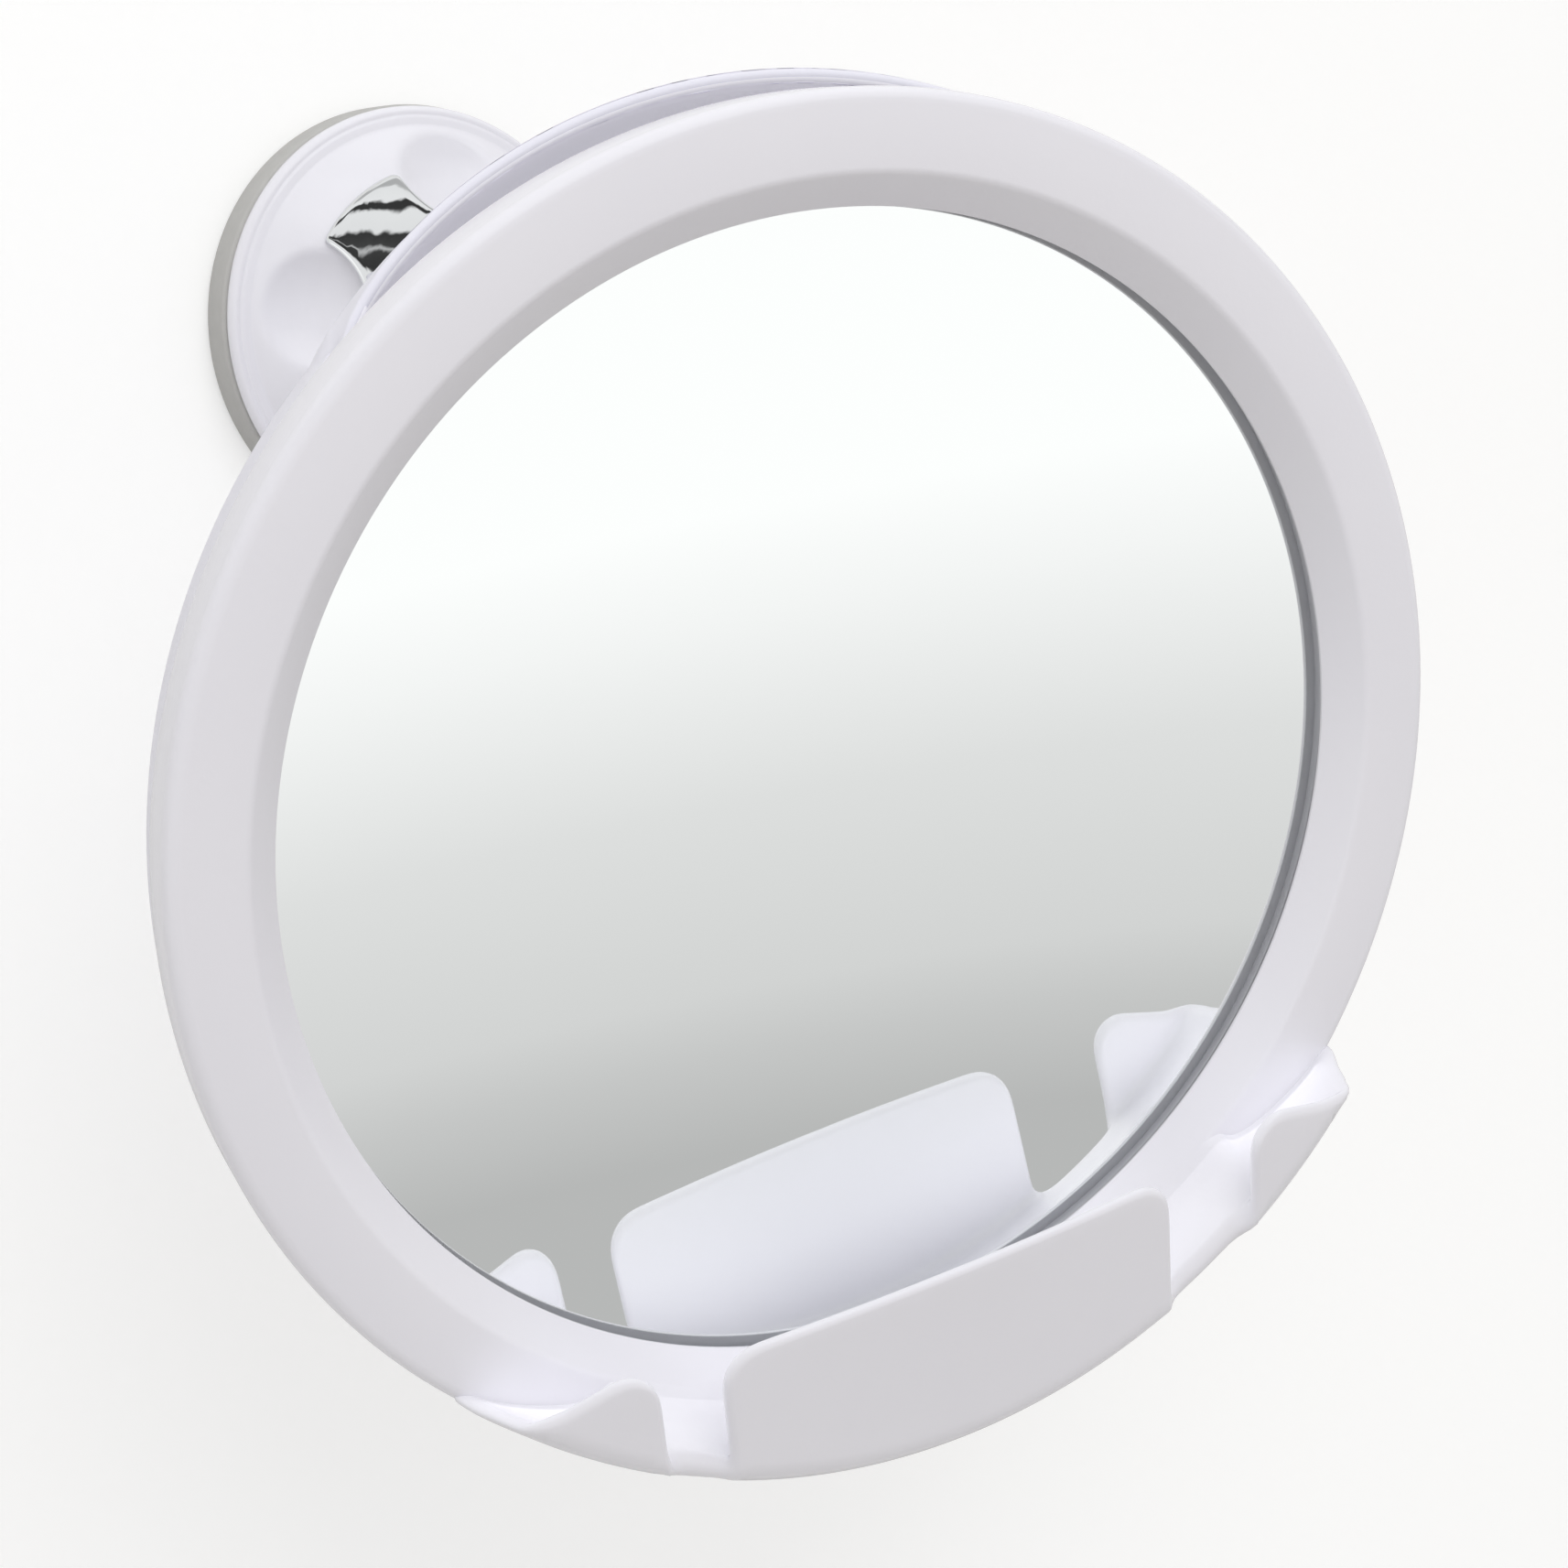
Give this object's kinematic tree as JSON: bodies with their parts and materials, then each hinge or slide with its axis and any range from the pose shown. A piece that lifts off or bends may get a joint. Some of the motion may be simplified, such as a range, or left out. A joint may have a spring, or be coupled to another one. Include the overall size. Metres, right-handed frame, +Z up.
{
  "type": "fogless shower mirror",
  "caption": "Round wall mirror with a hot-water tank behind the glass, a trough with razor gaps below it, a ball joint and a suction cup with a lock knob",
  "frame": {"origin": "middle of the suction cup's flat back, on the wall", "axes": "+X right as seen by the user, +Y into the wall, +Z up; the mirror faces -Y"},
  "size_m": [0.2366, 0.1551, 0.2436],
  "materials": {
    "white_plastic": "glossy moulded white plastic",
    "grey_cup": "soft matt grey rubber",
    "dark_rubber": "dark seal rubber",
    "chrome": "polished chrome plating",
    "steel": "plain turned stainless steel",
    "seat_plastic": "smooth light grey bearing plastic",
    "mirror": "polished back-silvered glass"
  },
  "bodies": {
    "wall_mount": {"suction_cup": "grey_cup", "mount_base": "white_plastic", "ball_stem": "chrome", "knob_washer": "steel"},
    "knob": {"lock_knob": "white_plastic", "hub_cover": "chrome"},
    "puller": {"cup_puller": "steel", "puller_pin": "steel"},
    "rear_seat": {"ball_seat_rear": "seat_plastic"},
    "front_seat": {"ball_seat_front": "seat_plastic"},
    "head": {"mirror_frame": "white_plastic", "mirror_glass": "mirror", "glass_gasket": "dark_rubber", "glass_retainer": "white_plastic", "rear_shell": "white_plastic", "tank_seal": "dark_rubber", "socket_collar": "white_plastic", "shell_screw_1": "steel", "shell_screw_2": "steel", "shell_screw_3": "steel", "shell_screw_4": "steel", "shell_screw_5": "steel", "shell_screw_6": "steel"}
  },
  "joints": [
    {"name": "knob_turn", "type": "hinge", "parent": "wall_mount", "child": "knob", "pos_m": [0, -0.02, 0], "axis": [0, 1, 0], "range_deg": [0, 90]},
    {"name": "puller_lift", "type": "slide", "parent": "wall_mount", "child": "puller", "axis": [0, -1, 0], "range_m": [0, 0.0025]},
    {"name": "head_pan", "type": "hinge", "parent": "wall_mount", "child": "rear_seat", "pos_m": [0, -0.092, 0], "axis": [0, 0, 1], "range_deg": [-11.5, 28.5]},
    {"name": "head_tilt", "type": "hinge", "parent": "rear_seat", "child": "front_seat", "pos_m": [0, -0.092, 0], "axis": [0.989, -0.1478, 0], "range_deg": [-26.5, 13.5]},
    {"name": "head_spin", "type": "hinge", "parent": "front_seat", "child": "head", "pos_m": [0, -0.092, 0], "axis": [0.1469, 0.9827, 0.1132], "continuous": true}
  ],
  "couplings": [
    {"joint": "puller_lift", "follows": "knob_turn", "m_per_rad": 0.0015915}
  ]
}
